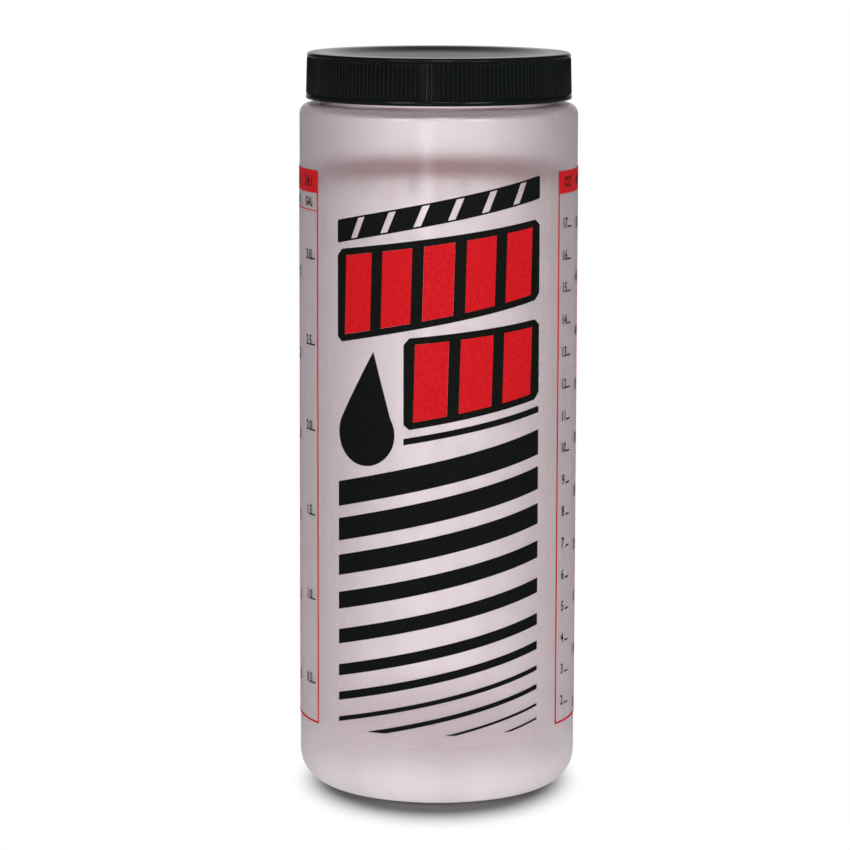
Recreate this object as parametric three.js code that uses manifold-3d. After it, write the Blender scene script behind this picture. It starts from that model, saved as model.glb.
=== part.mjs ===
import * as THREE from 'three';
import { mergeVertices } from 'three/addons/utils/BufferGeometryUtils.js';
import Module from 'manifold-3d';

const wasm = await Module();
wasm.setup();

// Fuel mixing bottle with a wide screw cap. Millimetres, +Z up, the printed side faces -Y.
// A point of the print is given as [s, z]: s runs along the wall from the front centre.

// Bottle body
const bodyRadius = 35.3;
const bodyHeight = 175.0;
const wall = 1.2;
const shoulderRadius = 2.6;
const baseCornerRadius = 8.25;
const footWidth = 1.9;
const pushUpDepth = 2.6;
const pushUpSlope = 2.4;

// Neck and its rim
const neckRadius = 29.9;
const neckHeight = 8.4;
const neckWall = 1.5;
const neckFillet = 0.9;
const rimChamfer = 0.3;

// Screw thread, right-handed, six turns to the inch
const threadPitch = 25.4 / 6;
const threadHeight = 1.2;
const threadClearance = 0.4;
const threadSlack = 0.2;
const neckRidgeBase = 2.2;
const neckRidgeCrest = 1.0;
const neckRidgeTurns = 1.25;
const rimToRidge = 1.2;
const capRidgeBase = 1.8;
const capRidgeCrest = 0.8;
const ridgeRoot = 0.3;
const ridgeFade = 0.06;

// Cap
const capRadius = 33.7;
const capDraft = 0.026;
const skirtGap = 1.2;
const bandProud = 0.06;
const skirtChamfer = 0.4;
const bandHeight = 1.2;
const ribTopBelowRim = 1.3;
const ribCount = 180;
const ribDepth = 0.38;
const capCornerRadius = 1.4;
const panelThickness = 1.2;
const recessDepth = 1.82;
const recessRadius = 27.6;
const recessSlope = 0.8;
const gateRadius = 1.2;
const gateDepth = 0.35;

// Liner under the cap's panel
const linerThickness = 0.95;
const linerGap = 0.25;
const linerEdgeGap = 0.3;

// Print
const inkLift = 0.05;
const inkThickness = 0.1;
const printSlope = 0.2404;
const printLeft = -27.3;
const printRight = 27.8;
const printFloor = 19.0;
const inkGap = 0.3;

// Facets round the axis
const bodySegments = 48;
const ridgeStepsPerTurn = 32;

// Heights and radii that follow from the sizes above
const rimZ = bodyHeight + neckHeight;
const linerZ = rimZ + linerGap;
const panelZ = linerZ + linerThickness + linerGap;
const discZ = panelZ + panelThickness;
const capTopZ = discZ + recessDepth;
const capBottomZ = bodyHeight + skirtGap;
const ribBottomZ = capBottomZ + bandHeight;
const ribTopZ = capTopZ - ribTopBelowRim;
const boreRadius = neckRadius + threadHeight + threadClearance;

const black = 0x171c19;
const red = 0xd01f28;
const milky = 0xd8ccd0;

// Mesh and solid helpers
function toSolid(geometry) {
  const bare = new THREE.BufferGeometry();
  bare.setAttribute('position', geometry.getAttribute('position'));
  if (geometry.index) bare.setIndex(geometry.index);
  const welded = mergeVertices(bare, 1e-4);
  const corners = welded.index.array;
  const triangles = [];
  for (let i = 0; i < corners.length; i += 3) {
    const [a, b, c] = corners.slice(i, i + 3);
    if (a !== b && b !== c && c !== a) triangles.push(a, b, c);
  }
  return new wasm.Manifold(new wasm.Mesh({
    numProp: 3,
    vertProperties: new Float32Array(welded.attributes.position.array),
    triVerts: new Uint32Array(triangles),
  }));
}

function toMesh(name, solid, color, roughness) {
  const { vertProperties, triVerts } = solid.getMesh();
  const geometry = new THREE.BufferGeometry();
  geometry.setAttribute('position', new THREE.BufferAttribute(vertProperties, 3));
  geometry.setIndex(new THREE.BufferAttribute(triVerts, 1));
  const material = new THREE.MeshStandardMaterial({ color, roughness });
  const mesh = new THREE.Mesh(geometry, material);
  mesh.name = name;
  return mesh;
}

function revolve(profile, segments) {
  const points = profile.map(([r, z]) => new THREE.Vector2(r, z));
  return toSolid(new THREE.LatheGeometry(points, segments).rotateX(Math.PI / 2));
}

function extrude(outline, depth, steps = 1) {
  return new THREE.ExtrudeGeometry(outline, { depth, steps, bevelEnabled: false });
}

function arc(centreR, centreZ, radius, fromDegrees, toDegrees, steps) {
  const points = [];
  for (let i = 0; i <= steps; i += 1) {
    const angle = THREE.MathUtils.degToRad(fromDegrees + ((toDegrees - fromDegrees) * i) / steps);
    points.push([centreR + radius * Math.cos(angle), centreZ + radius * Math.sin(angle)]);
  }
  return points;
}

// A straight bar bent to a helix. side is 1 for a ridge that stands out and -1 for one inside.
function helicalRidge({ radius, side, base, crest, height, startZ, startTurn, turns }) {
  const depth = height + ridgeRoot;
  const outline = new THREE.Shape([
    new THREE.Vector2(0, -base / 2),
    new THREE.Vector2(depth, -crest / 2),
    new THREE.Vector2(depth, crest / 2),
    new THREE.Vector2(0, base / 2),
  ]);
  const bar = extrude(outline, 1, Math.ceil(turns * ridgeStepsPerTurn));
  const place = bar.getAttribute('position');
  for (let i = 0; i < place.count; i += 1) {
    const along = side > 0 ? 1 - place.getZ(i) : place.getZ(i);
    const fade = THREE.MathUtils.clamp(Math.min(along, 1 - along) / ridgeFade, 0.1, 1);
    const angle = (startTurn + along * turns) * 2 * Math.PI;
    const r = radius + side * (place.getX(i) * fade - ridgeRoot);
    const z = startZ + along * turns * threadPitch + place.getY(i);
    place.setXYZ(i, r * Math.cos(angle), r * Math.sin(angle), z);
  }
  return toSolid(bar);
}

// Bottle: blown in one piece, with a pushed-up base, a round shoulder and a threaded neck
function bottleProfile() {
  const corner = bodyRadius - baseCornerRadius;
  const foot = corner - footWidth;
  const inside = bodyRadius - wall;
  const shoulder = bodyRadius - shoulderRadius;
  const neckInside = neckRadius - neckWall;
  const ceiling = bodyHeight - wall;
  return [
    [0, pushUpDepth],
    [foot - pushUpSlope, pushUpDepth * 0.75],
    [foot - pushUpSlope * 0.4, pushUpDepth * 0.35],
    [foot, 0],
    ...arc(corner, baseCornerRadius, baseCornerRadius, -90, 0, 5),
    ...arc(shoulder, bodyHeight - shoulderRadius, shoulderRadius, 0, 90, 3),
    ...arc(neckRadius + neckFillet, bodyHeight + neckFillet, neckFillet, -90, -180, 1),
    [neckRadius, rimZ - rimChamfer],
    [neckRadius - rimChamfer, rimZ],
    [neckInside + rimChamfer, rimZ],
    [neckInside, rimZ - rimChamfer],
    [neckInside, bodyHeight],
    [neckInside + wall, ceiling],
    ...arc(shoulder, bodyHeight - shoulderRadius, shoulderRadius - wall, 90, 0, 1),
    ...arc(corner, baseCornerRadius, baseCornerRadius - wall, 0, -90, 3),
    [foot, wall],
    [foot - pushUpSlope, pushUpDepth * 0.75 + wall],
    [0, pushUpDepth + wall],
  ];
}

const neckRidgeStartZ = rimZ - rimToRidge - neckRidgeTurns * threadPitch;

function makeBottle() {
  const ridge = helicalRidge({
    radius: neckRadius,
    side: 1,
    base: neckRidgeBase,
    crest: neckRidgeCrest,
    height: threadHeight,
    startZ: neckRidgeStartZ,
    startTurn: 0,
    turns: neckRidgeTurns,
  });
  return revolve(bottleProfile(), bodySegments).add(ridge);
}

// Cap: a moulded shell with a ribbed grip, a dished top and a ridge inside that rides the neck's
function skirtRadius(z) {
  return capRadius - (z - capBottomZ) * capDraft;
}

function capProfile() {
  const valley = ribDepth + 0.15;
  const cornerZ = capTopZ - capCornerRadius;
  const cornerR = skirtRadius(cornerZ) - capCornerRadius;
  const recessEdge = recessRadius + recessSlope;
  return [
    [0, panelZ],
    [boreRadius, panelZ],
    [boreRadius, capBottomZ + skirtChamfer],
    [boreRadius + skirtChamfer, capBottomZ],
    [capRadius - skirtChamfer, capBottomZ],
    [capRadius + bandProud, capBottomZ + skirtChamfer],
    [skirtRadius(ribBottomZ) + bandProud, ribBottomZ],
    [skirtRadius(ribBottomZ) - valley, ribBottomZ],
    [skirtRadius(ribTopZ) - valley, ribTopZ],
    [skirtRadius(ribTopZ) + bandProud, ribTopZ],
    ...arc(cornerR, cornerZ, capCornerRadius, 15, 90, 3),
    [recessEdge, capTopZ],
    [recessRadius, discZ + recessSlope / 2],
    [recessRadius - recessSlope / 2, discZ],
    [gateRadius, discZ],
    [gateRadius * 0.8, discZ - gateDepth],
    [0, discZ - gateDepth],
  ];
}

function makeGripRing() {
  const height = ribTopZ - ribBottomZ;
  const innerRadius = skirtRadius(ribTopZ) - ribDepth - 0.7;
  const points = [];
  for (let i = 0; i < 2 * ribCount; i += 1) {
    const angle = (i / ribCount) * Math.PI;
    const r = skirtRadius(ribBottomZ) - (i % 2) * ribDepth;
    points.push(new THREE.Vector2(r * Math.cos(angle), r * Math.sin(angle)));
  }
  const outline = new THREE.Shape(points);
  const inner = new THREE.Path();
  inner.absarc(0, 0, innerRadius, 0, 2 * Math.PI, true);
  outline.holes.push(new THREE.Path(inner.getPoints(bodySegments / 2)));
  const ring = extrude(outline, height);
  const place = ring.getAttribute('position');
  for (let i = 0; i < place.count; i += 1) {
    const atTop = place.getZ(i) > height / 2;
    const lean = atTop ? skirtRadius(ribTopZ) / skirtRadius(ribBottomZ) : 1;
    place.setXYZ(i, place.getX(i) * lean, place.getY(i) * lean, atTop ? ribTopZ : ribBottomZ);
  }
  return toSolid(ring);
}

function makeCap() {
  const offset = (neckRidgeBase + capRidgeCrest) / 2 + threadSlack;
  const lowest = ribBottomZ;
  const highest = rimZ - capRidgeBase / 2;
  const startTurn = (lowest + offset - neckRidgeStartZ) / threadPitch;
  const ridge = helicalRidge({
    radius: boreRadius,
    side: -1,
    base: capRidgeBase,
    crest: capRidgeCrest,
    height: threadHeight,
    startZ: lowest,
    startTurn,
    turns: (highest - lowest) / threadPitch,
  });
  return revolve(capProfile(), bodySegments).add(makeGripRing()).add(ridge);
}

// Liner: a soft foam disc that the cap presses on the rim
function makeLiner() {
  const radius = boreRadius - linerEdgeGap;
  const top = linerZ + linerThickness;
  return revolve([[0, linerZ], [radius, linerZ], [radius, top], [0, top]], bodySegments);
}

// Print: thin fields of ink that follow the wall
const inkInner = bodyRadius + inkLift;
const inkOuter = inkInner + inkThickness;

function inkShell(bottom, top) {
  const profile = [[inkInner, bottom], [inkOuter, bottom], [inkOuter, top], [inkInner, top]];
  return revolve([...profile, profile[0]], bodySegments);
}

const wallShell = inkShell(baseCornerRadius, bodyHeight - shoulderRadius);

// The outline's edges bend where they cross a facet of the wall
function onWall(outline) {
  const column = (2 * Math.PI * bodyRadius) / bodySegments;
  const points = [];
  outline.forEach(([s, z], i) => {
    const [nextS, nextZ] = outline[(i + 1) % outline.length];
    points.push([s, z]);
    const from = Math.min(s, nextS) / column;
    const to = Math.max(s, nextS) / column;
    const crossings = [];
    for (let k = Math.floor(from) + 1; k < to - 1e-6; k += 1) crossings.push(k * column);
    if (nextS < s) crossings.reverse();
    crossings.forEach((at) => points.push([at, z + ((nextZ - z) * (at - s)) / (nextS - s)]));
  });
  return points.map(([s, z]) => new THREE.Vector2(inkOuter * Math.sin(s / bodyRadius), z));
}

function inkPrism(outline, holes = []) {
  const shape = new THREE.Shape(onWall(outline));
  holes.forEach((hole) => shape.holes.push(new THREE.Path(onWall(hole))));
  return toSolid(extrude(shape, inkOuter + 1).rotateX(Math.PI / 2));
}

function frontField(outline, holes) {
  return wallShell.intersect(inkPrism(outline, holes));
}

// A leaning band between two edges, with its foot line at z0 over s = 0
function band(left, right, z0, slope, heightLeft, heightRight) {
  return [
    [left, z0 + left * slope],
    [right, z0 + right * slope],
    [right, z0 + right * slope + heightRight],
    [left, z0 + left * slope + heightLeft],
  ];
}

// Stripes: [upper edge over the front centre, thickness], thinner and closer towards the base
const stripes = [
  [88.5, 6.3], [79.1, 5.7], [69.75, 5.15], [60.25, 4.3], [50.75, 3.7], [41.7, 2.9],
  [34.6, 2.1], [28.25, 1.2], [23.4, 1.2], [18.5, 0.65], [14.8, 0.5],
];

function makeStripe([top, thickness]) {
  const outline = band(printLeft, printRight, top - thickness, printSlope, thickness, thickness);
  return frontField(outline).trimByPlane([0, 0, 1], printFloor);
}

// Leaning blocks in a dark frame, with posts between them and a rail above and below
function blockRow({ left, right, z0, slope, heightLeft, heightRight, count, post, rail, lean, cut }) {
  const rise = (s) => heightLeft + ((heightRight - heightLeft) * (s - left)) / (right - left);
  const low = (s) => z0 + s * slope;
  const high = (s) => low(s) + rise(s);
  const frame = [
    [left, low(left) + cut], [left + cut, low(left + cut)],
    [right - cut, low(right - cut)], [right, low(right) + cut],
    [right, high(right) - cut], [right - cut, high(right - cut)],
    [left + cut, high(left + cut)], [left, high(left) - cut],
  ];
  const pitch = (right - left - post) / count;
  const blocks = [];
  for (let i = 0; i < count; i += 1) {
    const from = left + post + i * pitch;
    const to = from + pitch - post;
    blocks.push((inset) => [
      [from + inset, low(from) + rail + inset],
      [to - inset - lean, low(to - lean) + rail + inset],
      [to - inset, high(to) - rail - inset],
      [from + inset + lean, high(from + lean) - rail - inset],
    ]);
  }
  return {
    frame: frontField(frame, blocks.map((block) => block(0))),
    fills: blocks.map((block) => frontField(block(inkGap))),
  };
}

const upperRow = {
  left: -27.6, right: 27.8, z0: 122.5, slope: 0.2, heightLeft: 23.3, heightRight: 20.0,
  count: 5, post: 2.4, rail: 1.7, lean: 0.5, cut: 1.5,
};
const lowerRow = {
  left: -8.6, right: 27.8, z0: 97.7, slope: 0.195, heightLeft: 23.0, heightRight: 20.0,
  count: 3, post: 2.4, rail: 1.7, lean: 0.5, cut: 1.5,
};

// The title band stands over the upper row's left end and rises a little faster than it
const titleGap = 1.6;
const titleSlope = 0.2018;
const titleHeight = 5.7;
const titleRow = {
  left: upperRow.left, right: upperRow.right,
  z0: upperRow.z0 + upperRow.left * (upperRow.slope - titleSlope) + upperRow.heightLeft + titleGap,
  slope: titleSlope, heightLeft: titleHeight, heightRight: titleHeight,
  count: 6, post: 6.0, rail: 0.45, lean: 1.4, cut: 0.3,
};

// The subtitle line runs below the lower row, which it follows at a fixed drop
const subtitleDrop = 3.6;
const subtitleHeight = 1.6;
const subtitleZ = lowerRow.z0 - subtitleDrop;

// Drop beside the lower row
const dropCentre = [-19.0, 94.7];
const dropRadius = 8.1;
const dropTip = [-16.6, 115.4];

function dropOutline() {
  const round = arc(dropCentre[0], dropCentre[1], dropRadius, 150, 390, 14);
  return [...round, dropTip];
}

// Scale table: a red header and ruled columns that run round the back between the two edges
const tableRight = 35.7;
const tableLeft = -35.9;
const tableTop = 159.2;
const tableHeader = 5.7;
const tableBottom = 18.2;
const tableLine = 0.6;
const subHeaderDrop = 4.5;
const sideColumn = 20.0;
const ruledColumns = 8;

function angleOf(s) {
  return s / bodyRadius - Math.PI / 2;
}

function sector(fromS, toS, bottom, top) {
  const reach = 2 * bodyRadius;
  const steps = 8;
  const points = [new THREE.Vector2(0, 0)];
  for (let i = 0; i <= steps; i += 1) {
    const angle = angleOf(fromS + ((toS - fromS) * i) / steps);
    points.push(new THREE.Vector2(reach * Math.cos(angle), reach * Math.sin(angle)));
  }
  return toSolid(extrude(new THREE.Shape(points), top - bottom).translate(0, 0, bottom));
}

function makeTable() {
  const round = 2 * Math.PI * bodyRadius;
  const leftEdge = tableLeft + round;
  const headerZ = tableTop - tableHeader;
  const columnsFrom = tableRight + sideColumn;
  const pitch = (leftEdge - sideColumn - columnsFrom) / ruledColumns;
  const subZ = headerZ - subHeaderDrop;
  let fields = sector(tableRight, leftEdge, headerZ, tableTop)
    .add(sector(tableRight, leftEdge, tableBottom, tableBottom + tableLine))
    .add(sector(columnsFrom, leftEdge, subZ, subZ + tableLine / 2))
    .add(sector(tableRight, tableRight + tableLine, tableBottom, tableTop))
    .add(sector(leftEdge - tableLine, leftEdge, tableBottom, tableTop));
  for (let i = 0; i <= ruledColumns; i += 1) {
    const s = columnsFrom + i * pitch;
    fields = fields.add(sector(s - tableLine, s, tableBottom, tableTop));
  }
  return wallShell.intersect(fields);
}

const group = new THREE.Group();
group.name = 'fuel_mixing_bottle';
group.add(toMesh('bottle', makeBottle(), milky, 0.45));
group.add(toMesh('cap', makeCap(), black, 0.5));
group.add(toMesh('liner', makeLiner(), 0xf2f1ec, 0.9));
stripes.forEach((stripe, i) => {
  group.add(toMesh(`stripe_${i + 1}`, makeStripe(stripe), black, 0.5));
});
group.add(toMesh('title_band', blockRow(titleRow).frame, black, 0.5));
const upper = blockRow(upperRow);
group.add(toMesh('upper_frame', upper.frame, black, 0.5));
upper.fills.forEach((fill, i) => group.add(toMesh(`upper_block_${i + 1}`, fill, red, 0.5)));
const lower = blockRow(lowerRow);
group.add(toMesh('lower_frame', lower.frame, black, 0.5));
lower.fills.forEach((fill, i) => group.add(toMesh(`lower_block_${i + 1}`, fill, red, 0.5)));
group.add(toMesh('drop', frontField(dropOutline()), black, 0.5));
const subtitle = band(
  lowerRow.left, lowerRow.right, subtitleZ, lowerRow.slope, subtitleHeight, subtitleHeight,
);
group.add(toMesh('subtitle_line', frontField(subtitle), black, 0.5));
group.add(toMesh('scale_table', makeTable(), red, 0.5));

export default group;
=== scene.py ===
import math

import bmesh
import bpy
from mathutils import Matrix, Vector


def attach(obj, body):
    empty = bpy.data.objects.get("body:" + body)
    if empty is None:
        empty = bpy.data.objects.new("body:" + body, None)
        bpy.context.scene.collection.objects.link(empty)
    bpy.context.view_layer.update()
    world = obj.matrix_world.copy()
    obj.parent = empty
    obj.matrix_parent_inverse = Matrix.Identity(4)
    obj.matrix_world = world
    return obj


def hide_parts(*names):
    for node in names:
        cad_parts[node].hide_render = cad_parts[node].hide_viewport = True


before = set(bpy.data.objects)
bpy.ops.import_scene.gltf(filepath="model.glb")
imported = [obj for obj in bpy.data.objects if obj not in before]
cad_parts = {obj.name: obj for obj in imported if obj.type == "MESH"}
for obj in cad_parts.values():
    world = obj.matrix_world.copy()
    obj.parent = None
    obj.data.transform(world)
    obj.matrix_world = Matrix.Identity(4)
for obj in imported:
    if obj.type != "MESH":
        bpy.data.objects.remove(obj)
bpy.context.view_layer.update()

# Bottle
# The real bottle is blow-moulded in one piece from milky polyethylene about 1.2 mm thick.
# Its base is pushed up to stand on a narrow ring, and its neck carries a screw ridge.
MM = 0.001
body_radius = 35.3
body_height = 175.0
wall = 1.2
shoulder_radius = 2.6
base_corner = 8.25
foot_width = 1.9
push_up = 2.6
push_up_slope = 2.4
neck_radius = 29.9
neck_height = 8.4
neck_wall = 1.5
neck_fillet = 0.9
rim_round = 0.35
rim_z = body_height + neck_height
round_facets = 192


def arc(centre_r, centre_z, radius, start, end, steps):
    points = []
    for i in range(steps + 1):
        angle = math.radians(start + (end - start) * i / steps)
        points.append((centre_r + radius * math.cos(angle), centre_z + radius * math.sin(angle)))
    return points


def to_object(name, bm, sharp_degrees=40):
    mesh = bpy.data.meshes.new(name)
    bm.to_mesh(mesh)
    bm.free()
    for polygon in mesh.polygons:
        polygon.use_smooth = True
    mesh.set_sharp_from_angle(angle=math.radians(sharp_degrees))
    piece = bpy.data.objects.new(name, mesh)
    bpy.context.scene.collection.objects.link(piece)
    return piece


def revolve(name, profile, facets=round_facets):
    """A closed solid turned about the axis from a profile of radii and heights in millimetres."""
    bm = bmesh.new()
    rings = []
    for r, z in profile:
        if r < 1e-6:
            rings.append([bm.verts.new((0, 0, z * MM))])
            continue
        ring = []
        for i in range(facets):
            angle = 2 * math.pi * i / facets
            ring.append(bm.verts.new((r * MM * math.cos(angle), r * MM * math.sin(angle), z * MM)))
        rings.append(ring)
    for lower, upper in zip(rings, rings[1:] + rings[:1]):
        if len(lower) == len(upper) == 1:
            continue
        for i in range(facets):
            j = (i + 1) % facets
            corners = [lower[i % len(lower)], lower[j % len(lower)],
                       upper[j % len(upper)], upper[i % len(upper)]]
            bm.faces.new(list(dict.fromkeys(corners)))
    return to_object(name, bm)


corner = body_radius - base_corner
foot = corner - foot_width
shoulder = body_radius - shoulder_radius
neck_inside = neck_radius - neck_wall
bottle = revolve("bottle_shell", [
    (0, push_up),
    (foot - push_up_slope * 2, push_up * 0.97),
    *arc(foot - push_up_slope * 1.1, push_up * 0.42, push_up * 0.5, 88, 20, 5),
    (foot - 0.25, 0.25),
    (foot, 0),
    *arc(corner, base_corner, base_corner, -90, 0, 20),
    *arc(shoulder, body_height - shoulder_radius, shoulder_radius, 0, 90, 12),
    *arc(neck_radius + neck_fillet, body_height + neck_fillet, neck_fillet, -90, -180, 6),
    *arc(neck_radius - rim_round, rim_z - rim_round, rim_round, 0, 90, 4),
    *arc(neck_inside + rim_round, rim_z - rim_round, rim_round, 90, 180, 4),
    (neck_inside, body_height),
    *arc(neck_inside + wall, body_height, wall, 180, 270, 5),
    *arc(shoulder, body_height - shoulder_radius, shoulder_radius - wall, 90, 0, 8),
    *arc(corner, base_corner, base_corner - wall, 0, -90, 16),
    (foot, wall),
    (foot - push_up_slope, push_up * 0.75 + wall),
    (0, push_up + wall),
])

thread_pitch = 25.4 / 6
thread_height = 1.2
ridge_root = 0.3
ridge_soft = 0.18
ridge_steps_a_turn = 90
ridge_run_out = 0.06
ridge_end_share = 0.1
neck_ridge_turns = 1.25
neck_ridge_z = rim_z - 1.2 - neck_ridge_turns * thread_pitch


def screw_ridge(name, radius, side, base, crest, start_z, start_turn, turns):
    """A ridge that climbs a wall, outwards with side 1 and inwards with side -1."""
    bm = bmesh.new()
    depth = thread_height + ridge_root
    section = [
        (0, -base / 2),
        (depth - ridge_soft, -crest / 2 - ridge_soft * 0.4),
        (depth, -crest / 2 + ridge_soft),
        (depth, crest / 2 - ridge_soft),
        (depth - ridge_soft, crest / 2 + ridge_soft * 0.4),
        (0, base / 2),
    ]
    steps = math.ceil(turns * ridge_steps_a_turn)
    previous = None
    for i in range(steps + 1):
        along = i / steps
        fade = max(ridge_end_share, min(1, along / ridge_run_out, (1 - along) / ridge_run_out))
        angle = (start_turn + along * turns) * 2 * math.pi
        ring = []
        for out, up in section:
            r = radius + side * (out * fade - ridge_root)
            z = start_z + along * turns * thread_pitch + up
            ring.append(bm.verts.new((r * MM * math.cos(angle), r * MM * math.sin(angle), z * MM)))
        if previous:
            for k in range(len(section)):
                n = (k + 1) % len(section)
                bm.faces.new((previous[k], previous[n], ring[n], ring[k]))
        else:
            bm.faces.new(ring)
        previous = ring
    bm.faces.new(list(reversed(previous)))
    bmesh.ops.recalc_face_normals(bm, faces=bm.faces)
    return to_object(name, bm)


neck_ridge = screw_ridge("neck_ridge", neck_radius, 1, 2.2, 1.0, neck_ridge_z, 0, neck_ridge_turns)

plastic_ior = 1.4
clear_tint = (1.0, 0.945, 0.96, 1)
clear_roughness = 0.22
cloud_stretch = (60, 60, 9)
cloud_reach = 0.04
# The milk's pinkish grey is its own colour. Its turn to near white at the base and its darkening
# up the body are painted light and shade.
milk_tints_with_painted_shade = [
    (0, (0.95, 0.90, 0.92)),
    (0.12, (0.61, 0.54, 0.565)),
    (0.4, (0.56, 0.49, 0.51)),
    (1, (0.48, 0.415, 0.435)),
]
milk_glow = 0.35
milk_face_on, milk_edge_on = 0.07, 0.95
# Near the base the wall turns milkier, so that the painted lighter tint shows there as a lighter
# base.
milk_at_base = 0.75
milkier_low_from, milkier_low_to = 0.003, 0.026


def new_material(name):
    material = bpy.data.materials.new(name)
    material.use_nodes = True
    return material, material.node_tree, material.node_tree.nodes["Principled BSDF"]


def feed(tree, value, socket):
    """Link a value that varies, or set one that doesn't."""
    if isinstance(value, (int, float)):
        socket.default_value = value
    else:
        tree.links.new(value, socket)


def combined(tree, operation, first, second):
    node = tree.nodes.new("ShaderNodeMath")
    node.operation = operation
    feed(tree, first, node.inputs[0])
    feed(tree, second, node.inputs[1])
    return node.outputs["Value"]


def spread(tree, value, to_low, to_high, from_low=0.0, from_high=1.0, smooth=False):
    node = tree.nodes.new("ShaderNodeMapRange")
    if smooth:
        node.interpolation_type = "SMOOTHSTEP"
    node.inputs["From Min"].default_value = from_low
    node.inputs["From Max"].default_value = from_high
    node.inputs["To Min"].default_value = to_low
    node.inputs["To Max"].default_value = to_high
    tree.links.new(value, node.inputs["Value"])
    return node.outputs["Result"]


def stretched(tree, place, scale):
    node = tree.nodes.new("ShaderNodeMapping")
    node.inputs["Scale"].default_value = scale
    tree.links.new(place, node.inputs["Vector"])
    return node.outputs["Vector"]


def axes_of(tree, vector):
    node = tree.nodes.new("ShaderNodeSeparateXYZ")
    tree.links.new(vector, node.inputs["Vector"])
    return node.outputs


def grain_of(tree, place, scale, detail):
    node = tree.nodes.new("ShaderNodeTexNoise")
    node.inputs["Scale"].default_value = scale
    node.inputs["Detail"].default_value = detail
    tree.links.new(place, node.inputs["Vector"])
    return node.outputs["Fac"]


def tones(tree, value, stops):
    """Colours by a value, from a list of positions with their colours."""
    node = tree.nodes.new("ShaderNodeValToRGB")
    marks = node.color_ramp.elements
    marks[0].position, marks[-1].position = stops[0][0], stops[-1][0]
    for position, colour in stops[1:-1]:
        marks.new(position)
    for mark, (position, colour) in zip(marks, stops):
        mark.color = (*colour, 1)
    tree.links.new(value, node.inputs["Fac"])
    return node.outputs["Color"]


def dimpled(tree, height, strength, distance):
    node = tree.nodes.new("ShaderNodeBump")
    node.inputs["Strength"].default_value = strength
    node.inputs["Distance"].default_value = distance
    tree.links.new(height, node.inputs["Height"])
    return node.outputs["Normal"]


def mixed(tree, share, first, second):
    node = tree.nodes.new("ShaderNodeMixShader")
    feed(tree, share, node.inputs["Fac"])
    tree.links.new(first, node.inputs[1])
    tree.links.new(second, node.inputs[2])
    return node.outputs["Shader"]


milky, tree, clear = new_material("milky_polyethylene")
place = tree.nodes.new("ShaderNodeTexCoord").outputs["Object"]
cloud = grain_of(tree, stretched(tree, place, cloud_stretch), 1.0, 3.0)
height_up = axes_of(tree, place)["Z"]
haze = spread(tree, cloud, -cloud_reach, cloud_reach)
up_the_body = spread(tree, height_up, 0, 1, 0, body_height * MM)
# Milk colour by height: lighter towards the base and darker up the body, painted light and shade
# on the milk's own pinkish grey.
milk_and_painted_shade = tones(tree, combined(tree, "ADD", up_the_body, haze), milk_tints_with_painted_shade)
skin = grain_of(tree, place, 900.0, 2.0)
skin_dimples = dimpled(tree, skin, 0.06, 0.0003)
clear.inputs["Base Color"].default_value = clear_tint
clear.inputs["IOR"].default_value = plastic_ior
clear.inputs["Transmission Weight"].default_value = 1.0
clear.inputs["Roughness"].default_value = clear_roughness
tree.links.new(skin_dimples, clear.inputs["Normal"])
milk = tree.nodes.new("ShaderNodeBsdfPrincipled")
milk.inputs["IOR"].default_value = plastic_ior
tree.links.new(milk_and_painted_shade, milk.inputs["Base Color"])
tree.links.new(spread(tree, skin, 0.2, 0.3), milk.inputs["Roughness"])
tree.links.new(skin_dimples, milk.inputs["Normal"])
glow = tree.nodes.new("ShaderNodeBsdfTranslucent")
tree.links.new(milk_and_painted_shade, glow.inputs["Color"])
cloudy = mixed(tree, milk_glow, milk.outputs["BSDF"], glow.outputs["BSDF"])
slant = tree.nodes.new("ShaderNodeLayerWeight")
slant.inputs["Blend"].default_value = 0.5
depth = spread(tree, slant.outputs["Facing"], milk_face_on, milk_edge_on)
# Milkier towards the base, where the milk's tint is painted light.
milkier_low = spread(tree, height_up, milk_at_base, 0.0, milkier_low_from, milkier_low_to, smooth=True)
blend = mixed(tree, combined(tree, "MAXIMUM", depth, milkier_low), clear.outputs["BSDF"], cloudy)
tree.links.new(blend, tree.nodes["Material Output"].inputs["Surface"])

for piece in (bottle, neck_ridge):
    piece.data.materials.append(milky)
    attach(piece, "bottle")
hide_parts("bottle")

# Stripes and front panels
# The print is screen ink on the wall: a fan of leaning black stripes that thin out downwards,
# with dark-framed red panels, a drop and two thin bands above them.
ink_lift = 0.05
ink_thickness = 0.1
ink_gap = 0.02
ink_step = 0.7
least_ink = 0.002
print_left = -27.3
print_right = 27.8
print_slope = 0.2404
print_floor = 19.0


def on_wall(s, z, lift):
    """The place on the wall s millimetres round from the front and z millimetres up."""
    r = body_radius + lift
    angle = s / body_radius
    return (r * MM * math.sin(angle), -r * MM * math.cos(angle), z * MM)


def ink_strip(bm, left, right, foot_at, top_at, stops=()):
    """A thin layer of ink wrapped on the wall between two lines, with columns at the stops."""
    count = max(1, math.ceil((right - left) / ink_step))
    places = {left + (right - left) * i / count for i in range(count + 1)}
    places |= {s for s in stops if left < s < right}
    previous = None
    for s in sorted(places):
        low = foot_at(s)
        high = max(top_at(s), low + least_ink)
        column = [
            bm.verts.new(on_wall(s, low, ink_lift)),
            bm.verts.new(on_wall(s, high, ink_lift)),
            bm.verts.new(on_wall(s, high, ink_lift + ink_thickness)),
            bm.verts.new(on_wall(s, low, ink_lift + ink_thickness)),
        ]
        if previous:
            for k in range(4):
                n = (k + 1) % 4
                bm.faces.new((previous[k], previous[n], column[n], column[k]))
        else:
            bm.faces.new(column)
        previous = column
    bm.faces.new(list(reversed(previous)))


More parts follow.
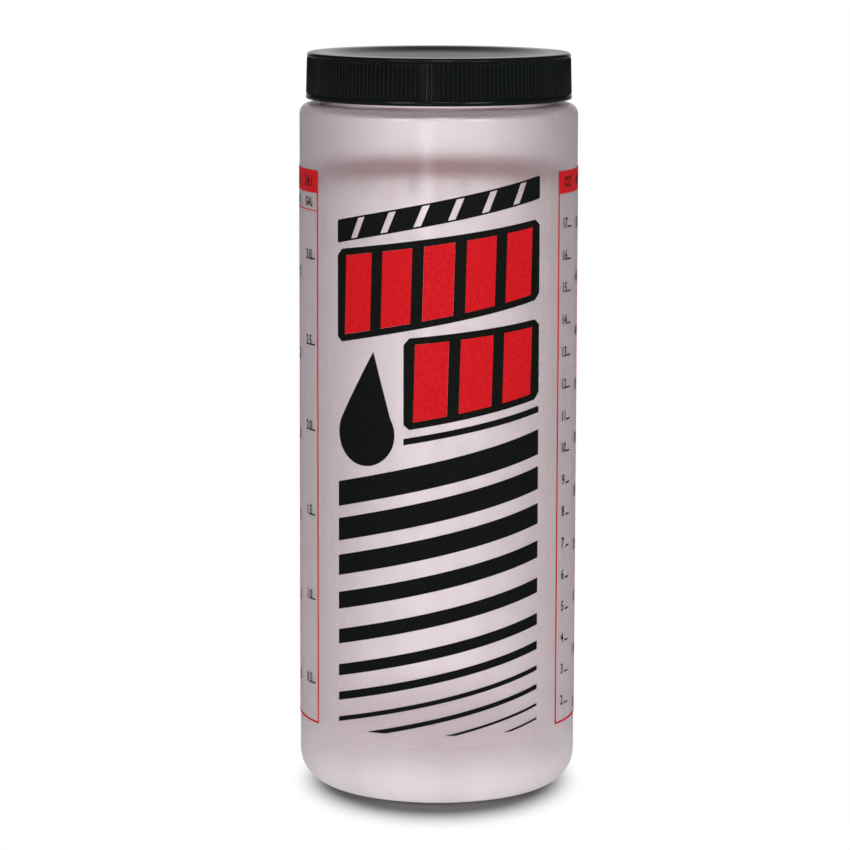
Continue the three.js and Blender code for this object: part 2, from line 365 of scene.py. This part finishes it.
ink_ior = 1.15
ink_roughness = 0.5
ink_grain = 1400.0
black_thin, black_thick = (0.0050, 0.0062, 0.0045), (0.0030, 0.0040, 0.0028)
red_thin, red_thick = (0.68, 0.014, 0.020), (0.62, 0.008, 0.014)
red_through = 0.35


def ink_material(name, thin, thick, through=0):
    ink, tree, shader = new_material(name)
    shader.inputs["IOR"].default_value = ink_ior
    place = tree.nodes.new("ShaderNodeTexCoord").outputs["Object"]
    grain = grain_of(tree, place, ink_grain, 3.0)
    tone = tones(tree, grain, [(0.35, thin), (0.6, thick)])
    tree.links.new(tone, shader.inputs["Base Color"])
    sheen = spread(tree, grain, ink_roughness, ink_roughness + 0.12)
    tree.links.new(sheen, shader.inputs["Roughness"])
    tree.links.new(dimpled(tree, grain, 0.1, 0.0001), shader.inputs["Normal"])
    if through:
        glowing = tree.nodes.new("ShaderNodeBsdfTranslucent")
        tree.links.new(tone, glowing.inputs["Color"])
        both = mixed(tree, through, shader.outputs["BSDF"], glowing.outputs["BSDF"])
        tree.links.new(both, tree.nodes["Material Output"].inputs["Surface"])
    return ink


black_ink = ink_material("black_screen_ink", black_thin, black_thick)
red_ink = ink_material("red_screen_ink", red_thin, red_thick, red_through)


def finish_ink(name, bm, ink, replaced):
    bmesh.ops.recalc_face_normals(bm, faces=bm.faces)
    piece = to_object(name, bm, 30)
    piece.data.materials.append(ink)
    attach(piece, "bottle")
    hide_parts(replaced)


def line(z0, slope):
    return lambda s: z0 + s * slope


stripes = [
    (88.5, 6.3), (79.1, 5.7), (69.75, 5.15), (60.25, 4.3), (50.75, 3.7), (41.7, 2.9),
    (34.6, 2.1), (28.25, 1.2), (23.4, 1.2), (18.5, 0.65), (14.8, 0.5),
]
for number, (top, thickness) in enumerate(stripes, 1):
    upper, lower = line(top, print_slope), line(top - thickness, print_slope)
    start = max(print_left, (print_floor - top) / print_slope)
    bend = (print_floor - top + thickness) / print_slope
    bm = bmesh.new()
    ink_strip(bm, start, print_right, lambda s: max(lower(s), print_floor), upper, [bend])
    finish_ink("printed_stripe_%d" % number, bm, black_ink, "stripe_%d" % number)


def leaning_strip(bm, left, right, low, high, lean, lean_left=True, lean_right=True):
    def climb(s, start):
        return low(s) + (high(s) - low(s)) * (s - start) / lean

    def top_at(s):
        return min(high(s), climb(s, left)) if lean_left else high(s)

    def foot_at(s):
        return max(low(s), climb(s, right)) if lean_right else low(s)

    end = right + lean if lean_right else right
    ink_strip(bm, left, end, foot_at, top_at, [left + lean, right])


def block_row(left, right, z0, slope, height_left, height_right, count, post, rail, lean, cut):
    """The dark frame of a row of leaning blocks, and the blocks that fill its windows."""
    grow = (height_right - height_left) / (right - left)
    foot_line = line(z0, slope)
    top_line = line(z0 + height_left - left * grow, slope + grow)
    low, high = line(foot_line(0) + rail, slope), line(top_line(0) - rail, slope + grow)

    def corner_cut(s):
        return max(0, cut - (s - left), cut - (right - s))

    ends = [left + cut, right - cut]
    pitch = (right - left - post) / count
    dark = bmesh.new()
    ink_strip(dark, left, right, lambda s: foot_line(s) + corner_cut(s), low, ends)
    ink_strip(dark, left, right, high, lambda s: top_line(s) - corner_cut(s), ends)
    fills = []
    window_end = left
    low_in, high_in = line(low(0) + ink_gap, slope), line(high(0) - ink_gap, slope + grow)
    for i in range(count):
        window = left + post + i * pitch
        leaning_strip(dark, window_end, window, low, high, lean, lean_left=i > 0)
        window_end = window + pitch - post - lean
        fill = bmesh.new()
        leaning_strip(fill, window + ink_gap, window_end - ink_gap, low_in, high_in, lean)
        fills.append(fill)
    leaning_strip(dark, window_end, right, low, high, lean, lean_right=False)
    return dark, fills


panel = dict(right=27.8, height_right=20.0, post=2.4, rail=1.7, lean=0.5, cut=1.5)
upper_row = dict(left=-27.6, z0=122.5, slope=0.2, height_left=23.3, count=5, **panel)
lower_row = dict(left=-8.6, z0=97.7, slope=0.195, height_left=23.0, count=3, **panel)
title_slope, title_gap = 0.2018, 1.6
title_z = upper_row["z0"] + upper_row["left"] * (upper_row["slope"] - title_slope)
title_z += upper_row["height_left"] + title_gap
title_row = dict(left=-27.6, right=27.8, z0=title_z, slope=title_slope, height_left=5.7,
                 height_right=5.7, count=6, post=4.4, rail=0.45, lean=2.2, cut=0.3)

# The title band's windows stay open.
title, fills = block_row(**title_row)
for fill in fills:
    fill.free()
finish_ink("printed_title_band", title, black_ink, "title_band")
for row, sizes in (("upper", upper_row), ("lower", lower_row)):
    dark, fills = block_row(**sizes)
    finish_ink("printed_%s_frame" % row, dark, black_ink, row + "_frame")
    for i, fill in enumerate(fills, 1):
        block = "%s_block_%d" % (row, i)
        finish_ink("printed_" + block, fill, red_ink, block)

drop_s, drop_z, drop_radius = -19.0, 94.7, 8.1
tip_s, tip_z = -16.6, 115.4
flank = drop_radius * math.cos(math.radians(30))
flank_z = drop_z + drop_radius * math.sin(math.radians(30))


def drop_bulge(s):
    return math.sqrt(max(0, drop_radius ** 2 - (s - drop_s) ** 2))


def drop_top(s):
    if abs(s - drop_s) > flank:
        return drop_z + drop_bulge(s)
    side = drop_s - flank if s < tip_s else drop_s + flank
    return flank_z + (tip_z - flank_z) * (s - side) / (tip_s - side)


drop = bmesh.new()
stops = [drop_s - flank, drop_s + flank, tip_s]
stops += [drop_s + drop_radius * math.cos(math.radians(a)) for a in range(0, 181, 6)]
ink_strip(drop, drop_s - drop_radius, drop_s + drop_radius,
          lambda s: drop_z - drop_bulge(s), drop_top, stops)
finish_ink("printed_drop", drop, black_ink, "drop")

subtitle_drop = 3.6
subtitle_thickness = 1.6
subtitle = bmesh.new()
subtitle_z = lower_row["z0"] - subtitle_drop
ink_strip(subtitle, lower_row["left"], lower_row["right"], line(subtitle_z, lower_row["slope"]),
          line(subtitle_z + subtitle_thickness, lower_row["slope"]))
finish_ink("printed_subtitle_line", subtitle, black_ink, "subtitle_line")

# Scale table
# A red header and red rules run round the back of the bottle between the two front edges.
# Black figures give ounces and millilitres on the right, and mixing amounts in the other columns.
table_right = 35.7
table_left = -35.9
table_top = 159.2
table_header = 5.7
table_bottom = 18.2
table_line = 0.45
sub_header = 4.5
side_column = 20.0
ruled_columns = 8
around = 2 * math.pi * body_radius
left_edge = table_left + around
header_z = table_top - table_header
sub_z = header_z - sub_header
columns_from = table_right + side_column
column_pitch = (left_edge - side_column - columns_from) / ruled_columns


def level(z):
    return lambda s: z


table = bmesh.new()
ink_strip(table, table_right, left_edge, level(header_z), level(table_top))
ink_strip(table, table_right, left_edge, level(table_bottom), level(table_bottom + table_line))
ink_strip(table, columns_from, left_edge, level(sub_z), level(sub_z + table_line / 2))
rules = [columns_from + i * column_pitch - table_line for i in range(ruled_columns + 1)]
rules.append(left_edge - table_line)
foot_z = table_bottom + table_line
ink_strip(table, table_right, table_right + table_line, level(foot_z), level(header_z))
for s in rules:
    ink_strip(table, s, s + table_line, level(foot_z), level(sub_z))
    ink_strip(table, s, s + table_line, level(sub_z + table_line / 2), level(header_z))
finish_ink("printed_scale_table", table, red_ink, "scale_table")

ounce_height = 8.14
ounce_zero = 6.47
ounce_column, ounce_head = 39.2, 40.8
millilitre_column, millilitre_head = 50.5, 49.5
millilitres_an_ounce = 29.57
ounces_a_gallon = 128
ratios = [100, 80, 64, 50, 40, 36, 32, 30, 25, 24]
fine_ratio = 60
column_middles = [columns_from + (i + 0.5) * column_pitch for i in range(ruled_columns)]
column_middles += [left_edge - 14.6, left_edge - 5.2]
column_margin = 4
head_lift, head_height = 1.6, 2.7
unit_lift, unit_height = 1.2, 2.2
digit_height = 2.6
digit_narrowing = 0.82
digit_boldness = 0.07
letter_share_of_size = 0.72
digit_lift = ink_lift + ink_thickness + 0.02
label_words = []


def add_label(words, s, z, height):
    curve = bpy.data.curves.new("label", "FONT")
    curve.body = words
    curve.size = height / letter_share_of_size
    curve.align_x = "CENTER"
    curve.offset = digit_boldness
    curve.resolution_u = 3
    flat = bpy.data.objects.new("label", curve)
    bpy.context.scene.collection.objects.link(flat)
    bpy.context.view_layer.update()
    depsgraph = bpy.context.evaluated_depsgraph_get()
    shape = bpy.data.meshes.new_from_object(flat.evaluated_get(depsgraph))
    bpy.data.objects.remove(flat)
    label_words.append((shape, s, z))


for ounces in range(2, 18):
    add_label(str(ounces), ounce_column, ounce_zero + ounces * ounce_height, digit_height)
add_label("OZ", ounce_head, header_z + head_lift, head_height)
add_label("ML", millilitre_head, header_z + head_lift, head_height)
for millilitres in range(50, 550, 50):
    z = ounce_zero + millilitres / millilitres_an_ounce * ounce_height
    add_label(str(millilitres), millilitre_column, z, digit_height)
for middle, ratio in zip(column_middles, ratios):
    add_label("%d:1" % ratio, middle, header_z + head_lift, head_height)
    add_label("GAL", middle, sub_z + unit_lift, unit_height)
    gallons = 0.5 if ratio < fine_ratio else 1
    spacing = ounces_a_gallon * gallons / ratio * ounce_height
    for mark in range(1, 40):
        z = ounce_zero + mark * spacing
        if table_bottom + column_margin < z < sub_z - column_margin:
            add_label("%.1f" % (mark * gallons), middle, z, digit_height)

labels = bmesh.new()
for shape, s0, z0 in label_words:
    start = len(labels.verts)
    labels.from_mesh(shape)
    labels.verts.ensure_lookup_table()
    for vertex in labels.verts[start:]:
        vertex.co = on_wall(s0 + vertex.co.x * digit_narrowing, z0 + vertex.co.y, digit_lift)
    bpy.data.meshes.remove(shape)
printed_digits = to_object("printed_digits", labels)
printed_digits.data.materials.append(black_ink)
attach(printed_digits, "bottle")

# Cap
# The real cap is moulded from black plastic, with 180 fine upright ribs round its grip,
# a plain band below them, a dished top with a gate mark, and a screw ridge inside.
skirt_gap = 1.2
cap_bottom = body_height + skirt_gap
liner_gap = 0.25
liner_thickness = 0.95
liner_z = rim_z + liner_gap
panel_z = liner_z + liner_thickness + liner_gap
disc_z = panel_z + 1.2
cap_top = disc_z + 1.82
cap_radius = 33.7
cap_draft = 0.026
bore_radius = neck_radius + thread_height + 0.4
bore_corner = 0.5
lip_round = 0.4
band_height = 1.2
rib_depth = 0.38
rib_lip = 0.12
rib_count = 180
rib_bottom = cap_bottom + band_height
rib_top = cap_top - 1.1
cap_corner = 0.8
dish_radius = 28.1
dish_power = 5
dish_steps = 12
gate_mark, gate_depth, gate_nib = 1.1, 0.3, 0.5


def skirt(z):
    return cap_radius - (z - cap_bottom) * cap_draft


def dish(share):
    return disc_z + (cap_top - 0.05 - disc_z) * share ** dish_power


corner_z = cap_top - cap_corner
corner_r = skirt(corner_z) - cap_corner
cap_shell = revolve("cap_shell", [
    (0, panel_z),
    (bore_radius - bore_corner, panel_z),
    (bore_radius, panel_z - bore_corner),
    (bore_radius, cap_bottom + lip_round),
    *arc(bore_radius + lip_round, cap_bottom + lip_round, lip_round, 180, 270, 3),
    *arc(cap_radius - lip_round, cap_bottom + lip_round, lip_round, -90, 0, 5),
    (skirt(rib_bottom - 0.2), rib_bottom - 0.2),
    (skirt(rib_bottom) - rib_lip, rib_bottom),
    (skirt(rib_bottom) - rib_depth, rib_bottom + 0.1),
    (skirt(rib_top) - rib_depth, rib_top - 0.15),
    (skirt(rib_top) - rib_lip, rib_top),
    *arc(corner_r, corner_z, cap_corner, 6, 90, 9),
    (dish_radius + 0.3, cap_top),
    *[(dish_radius * i / dish_steps, dish(i / dish_steps)) for i in range(dish_steps, 1, -1)],
    (gate_mark + 0.2, disc_z),
    (gate_mark, disc_z - gate_depth),
    (gate_nib + 0.05, disc_z - gate_depth),
    (gate_nib, disc_z + 0.4),
    (0, disc_z + 0.45),
])
cap_ridge_low = rib_bottom
cap_ridge_high = rim_z - 0.9
cap_ridge_turn = (cap_ridge_low + (2.2 + 0.8) / 2 + 0.2 - neck_ridge_z) / thread_pitch
cap_ridge = screw_ridge("cap_ridge", bore_radius, -1, 1.8, 0.8, cap_ridge_low, cap_ridge_turn,
                        (cap_ridge_high - cap_ridge_low) / thread_pitch)

rib_width = 0.86
rib_sides = 6
rib_squareness = 0.8
rib_ends = [(0, 0.1), (0.12, 0.6), (0.3, 0.95), (0.5, 1)]
rib_levels = [(rib_bottom + inset, fullness) for inset, fullness in rib_ends]
rib_levels += [(rib_top - inset, fullness) for inset, fullness in reversed(rib_ends)]
rib_blank = bmesh.new()
rib_rings = []
for z, fullness in rib_levels:
    ring = []
    for k in range(rib_sides + 1):
        angle = math.pi * k / rib_sides
        across = rib_width / 2 * math.cos(angle)
        out = skirt(z) - rib_depth - rib_lip
        out += (rib_depth + rib_lip) * math.sin(angle) ** rib_squareness * fullness
        ring.append(rib_blank.verts.new((out * MM, across * MM, z * MM)))
    rib_rings.append(ring)
for lower, upper in zip(rib_rings, rib_rings[1:]):
    for k in range(rib_sides + 1):
        n = (k + 1) % (rib_sides + 1)
        rib_blank.faces.new((lower[k], lower[n], upper[n], upper[k]))
rib_blank.faces.new(rib_rings[0])
rib_blank.faces.new(list(reversed(rib_rings[-1])))
bmesh.ops.recalc_face_normals(rib_blank, faces=rib_blank.faces)
grip_ribs = to_object("grip_rib", rib_blank, 60)

cap_ior = 1.2
cap_dark, cap_light = (0.0035, 0.0050, 0.0040), (0.0055, 0.0072, 0.0060)
cap_smooth, cap_rough = 0.16, 0.24
cap_plastic, tree, shader = new_material("black_cap_plastic")
shader.inputs["IOR"].default_value = cap_ior
place = tree.nodes.new("ShaderNodeTexCoord").outputs["Object"]
fine = grain_of(tree, place, 1100.0, 4.0)
flow = grain_of(tree, place, 60.0, 3.0)
tree.links.new(tones(tree, flow, [(0, cap_dark), (1, cap_light)]), shader.inputs["Base Color"])
tree.links.new(spread(tree, flow, cap_smooth, cap_rough), shader.inputs["Roughness"])
tree.links.new(dimpled(tree, fine, 0.12, 0.0002), shader.inputs["Normal"])


def stand_copies(piece, name, sizes, material, lay_points):
    """Stand copies of a piece on laid-out points, and keep them as the piece's plain mesh."""
    tree = bpy.data.node_groups.new(name, "GeometryNodeTree")
    face = tree.interface
    face.new_socket("Geometry", in_out="INPUT", socket_type="NodeSocketGeometry")
    values = {}
    for label, kind, value in (*sizes, ("Finish", "NodeSocketMaterial", material)):
        socket = face.new_socket(label, in_out="INPUT", socket_type=kind)
        values[socket.identifier] = value
    face.new_socket("Geometry", in_out="OUTPUT", socket_type="NodeSocketGeometry")
    add, join = tree.nodes.new, tree.links.new
    given, result = add("NodeGroupInput"), add("NodeGroupOutput")
    copy = add("GeometryNodeInstanceOnPoints")
    real = add("GeometryNodeRealizeInstances")
    paint = add("GeometryNodeSetMaterial")
    lay_points(add, join, given, copy)
    join(given.outputs["Geometry"], copy.inputs["Instance"])
    join(copy.outputs["Instances"], real.inputs["Geometry"])
    join(real.outputs["Geometry"], paint.inputs["Geometry"])
    join(given.outputs["Finish"], paint.inputs["Material"])
    join(paint.outputs["Geometry"], result.inputs["Geometry"])
    maker = piece.modifiers.new("copies", "NODES")
    maker.node_group = tree
    for identifier, value in values.items():
        maker[identifier] = value
    bpy.context.view_layer.update()
    depsgraph = bpy.context.evaluated_depsgraph_get()
    made = bpy.data.meshes.new_from_object(piece.evaluated_get(depsgraph))
    piece.modifiers.remove(maker)
    piece.data = made


def round_the_axis(add, join, given, copy):
    points = add("GeometryNodePoints")
    index = add("GeometryNodeInputIndex")
    share = add("ShaderNodeMath")
    share.operation = "DIVIDE"
    turn = add("ShaderNodeMath")
    turn.operation = "MULTIPLY"
    turn.inputs[1].default_value = 2 * math.pi
    spin = add("ShaderNodeCombineXYZ")
    join(given.outputs["Count"], points.inputs["Count"])
    join(index.outputs["Index"], share.inputs[0])
    join(given.outputs["Count"], share.inputs[1])
    join(share.outputs[0], turn.inputs[0])
    join(turn.outputs[0], spin.inputs["Z"])
    join(points.outputs[0], copy.inputs["Points"])
    join(spin.outputs["Vector"], copy.inputs["Rotation"])


stand_copies(grip_ribs, "ribs_round_the_axis", [("Count", "NodeSocketInt", rib_count)],
             cap_plastic, round_the_axis)
grip_ribs.name = "grip_ribs"
for piece in (cap_shell, cap_ridge):
    piece.data.materials.append(cap_plastic)
for piece in (cap_shell, cap_ridge, grip_ribs):
    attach(piece, "cap")
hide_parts("cap")

# Scale ticks
# Short dashes of black ink stand at the feet of the figures in the two outer columns,
# every ounce on the right and every half gallon beside the last ratio on the left.
tick_thickness = 0.35
ounce_tick = (41.0, 43.3)
gallon_tick = (left_edge - 3.9, left_edge - 1.8)
half_gallon = ounces_a_gallon / 2 / ratios[-1] * ounce_height


def up_the_wall(add, join, given, copy):
    upright = add("GeometryNodeMeshLine")
    join(given.outputs["Count"], upright.inputs["Count"])
    join(given.outputs["Start"], upright.inputs["Start Location"])
    join(given.outputs["Step"], upright.inputs["Offset"])
    join(upright.outputs["Mesh"], copy.inputs["Points"])


for name, (left, right), count, start, step in (
    ("ounce_ticks", ounce_tick, 16, ounce_zero + 2 * ounce_height, ounce_height),
    ("gallon_ticks", gallon_tick, 6, ounce_zero + half_gallon, half_gallon),
):
    tick = bmesh.new()
    ink_strip(tick, left, right, level(0), level(tick_thickness))
    bmesh.ops.recalc_face_normals(tick, faces=tick.faces)
    ticks = to_object(name, tick, 30)
    stand_copies(ticks, name + "_up_the_wall", [
        ("Count", "NodeSocketInt", count),
        ("Start", "NodeSocketVector", (0, 0, start * MM)),
        ("Step", "NodeSocketVector", (0, 0, step * MM)),
    ], black_ink, up_the_wall)
    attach(ticks, "bottle")

# Liner
# A die-cut disc of white closed-cell foam lies under the cap's panel and seals on the rim.
# It isn't glued: the closed cap presses it down on the neck.
liner_radius = bore_radius - 0.5
liner_edge = 0.1
liner_disc = revolve("liner_disc", [
    (0, liner_z),
    (liner_radius - liner_edge, liner_z),
    (liner_radius, liner_z + liner_edge),
    (liner_radius, liner_z + liner_thickness - liner_edge),
    (liner_radius - liner_edge, liner_z + liner_thickness),
    (0, liner_z + liner_thickness),
], 128)
# The foam is white on its cell walls and darker in the cells' hollows: painted shade.
foam_hollow_painted_shade, foam_wall = (0.74, 0.73, 0.69), (0.82, 0.81, 0.78)
foam, tree, shader = new_material("liner_foam")
shader.inputs["Roughness"].default_value = 0.85
cells = tree.nodes.new("ShaderNodeTexVoronoi")
cells.inputs["Scale"].default_value = 1800.0
tree.links.new(tree.nodes.new("ShaderNodeTexCoord").outputs["Object"], cells.inputs["Vector"])
hollow = cells.outputs["Distance"]
# Darker towards each cell's middle, its hollow: painted shade.
tree.links.new(tones(tree, hollow, [(0, foam_hollow_painted_shade), (1, foam_wall)]), shader.inputs["Base Color"])
tree.links.new(dimpled(tree, hollow, 0.3, 0.0002), shader.inputs["Normal"])
liner_disc.data.materials.append(foam)
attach(liner_disc, "liner")
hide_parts("liner")

# Floor
# The floor is painted dark grey close round the foot, a painted shadow which the bottle's real
# shadow darkens further. The rest is plain white, but dull in mirror-like reflections, so that the
# wall's edges and the cap stay dark.
floor_reach = 4.0
floor_drop = 0.0002
shadow_core = (0.0285, 0.036)
shadow_edge = (0.0382, 0.057)
# The grey of the floor round the foot is a painted shadow.
painted_shadow_grey = 0.13
mirrored_floor = 0.3
scene = bpy.context.scene
floor_mesh = bpy.data.meshes.new("floor")
floor_corners = [(-floor_reach, -floor_reach, 0), (floor_reach, -floor_reach, 0),
                 (floor_reach, floor_reach, 0), (-floor_reach, floor_reach, 0)]
floor_mesh.from_pydata(floor_corners, [], [(0, 1, 2, 3)])
floor = bpy.data.objects.new("floor", floor_mesh)
scene.collection.objects.link(floor)
floor.location.z = -floor_drop
paper, tree, matte = new_material("floor_paper")
matte.inputs["Base Color"].default_value = (painted_shadow_grey, painted_shadow_grey, painted_shadow_grey, 1)
matte.inputs["Roughness"].default_value = 0.9
matte.inputs["Specular IOR Level"].default_value = 0.1
place = tree.nodes.new("ShaderNodeTexCoord").outputs["Object"]
reaches = []
for half_width, half_depth in (shadow_core, shadow_edge):
    far = tree.nodes.new("ShaderNodeVectorMath")
    far.operation = "LENGTH"
    scaled = stretched(tree, place, (1 / half_width, 1 / half_depth, 1))
    tree.links.new(scaled, far.inputs[0])
    reaches.append(far.outputs["Value"])
beyond_core = combined(tree, "SUBTRACT", reaches[0], 1)
core_to_edge = combined(tree, "SUBTRACT", reaches[0], reaches[1])
share = combined(tree, "DIVIDE", beyond_core, core_to_edge)
away = spread(tree, share, 0.0, 1.0, -0.1, 1.0, smooth=True)
path = tree.nodes.new("ShaderNodeLightPath").outputs
unseen = combined(tree, "SUBTRACT", 1, path["Is Camera Ray"])
bare = combined(tree, "MAXIMUM", away, unseen)
reflected = combined(tree, "SUBTRACT", path["Is Glossy Ray"], path["Is Transmission Ray"])
white = tree.nodes.new("ShaderNodeEmission")
white.inputs["Color"].default_value = (1, 1, 1, 1)
tree.links.new(spread(tree, reflected, 1.0, mirrored_floor), white.inputs["Strength"])
swap = mixed(tree, bare, matte.outputs["BSDF"], white.outputs["Emission"])
tree.links.new(swap, tree.nodes["Material Output"].inputs["Surface"])
floor_mesh.materials.append(paper)

# Light and camera
# The room is white behind the bottle and dark in front of it. One lamp hangs above the front,
# two stand at the sides and a weak one stands low in front. The camera looks down a little.
scene.view_settings.view_transform = "Standard"
room_light = 0.35
mirrored_front, mirrored_back = 0.03, 0.8
back_from, back_to = 0.86, 0.99
scene.world = bpy.data.worlds.new("studio")
scene.world.use_nodes = True
tree = scene.world.node_tree
sky = tree.nodes["Background"]
sky.inputs["Color"].default_value = (1, 1, 1, 1)
path = tree.nodes.new("ShaderNodeLightPath").outputs
backwards = axes_of(tree, tree.nodes.new("ShaderNodeTexCoord").outputs["Generated"])["Y"]
backdrop = spread(tree, backwards, mirrored_front, mirrored_back, back_from, back_to, smooth=True)
total = combined(tree, "MULTIPLY", path["Is Glossy Ray"], backdrop)
lit = combined(tree, "MULTIPLY", path["Is Diffuse Ray"], room_light)
for part in (lit, path["Is Camera Ray"], path["Is Transmission Ray"]):
    total = combined(tree, "MAXIMUM", total, part)
tree.links.new(total, sky.inputs["Strength"])


def lamp(name, place, aim_z, size, watts):
    light = bpy.data.lights.new(name, "AREA")
    light.size = size
    light.energy = watts
    holder = bpy.data.objects.new(name, light)
    scene.collection.objects.link(holder)
    holder.location = place
    direction = [a - b for a, b in zip((0, 0, aim_z), place)]
    holder.rotation_mode = "QUATERNION"
    holder.rotation_quaternion = Vector(direction).to_track_quat("-Z", "Y")


lamp("top_front", (0.04, -0.75, 0.8), 0.1, 0.3, 3.7)
lamp("left", (-0.6, -0.95, 0.6), 0.07, 0.4, 3.95)
lamp("right", (0.65, -0.95, 0.6), 0.07, 0.4, 4.65)
lamp("low_strip", (-0.2, -1.2, 0.13), 0.12, 0.15, 0.6)

camera_distance = 0.970
camera_height = 0.2379
look_down = 8.53
roll = -0.0031
camera_data = bpy.data.cameras.new("camera")
camera_data.sensor_width = 36
camera_data.lens = 161.87
camera_data.shift_x = -0.0172
camera_data.clip_end = 50
camera = bpy.data.objects.new("camera", camera_data)
scene.collection.objects.link(camera)
scene.camera = camera
camera.rotation_mode = "XYZ"
camera.location = (0, -camera_distance, camera_height)
camera.rotation_euler = (math.radians(90 - look_down), roll, 0)
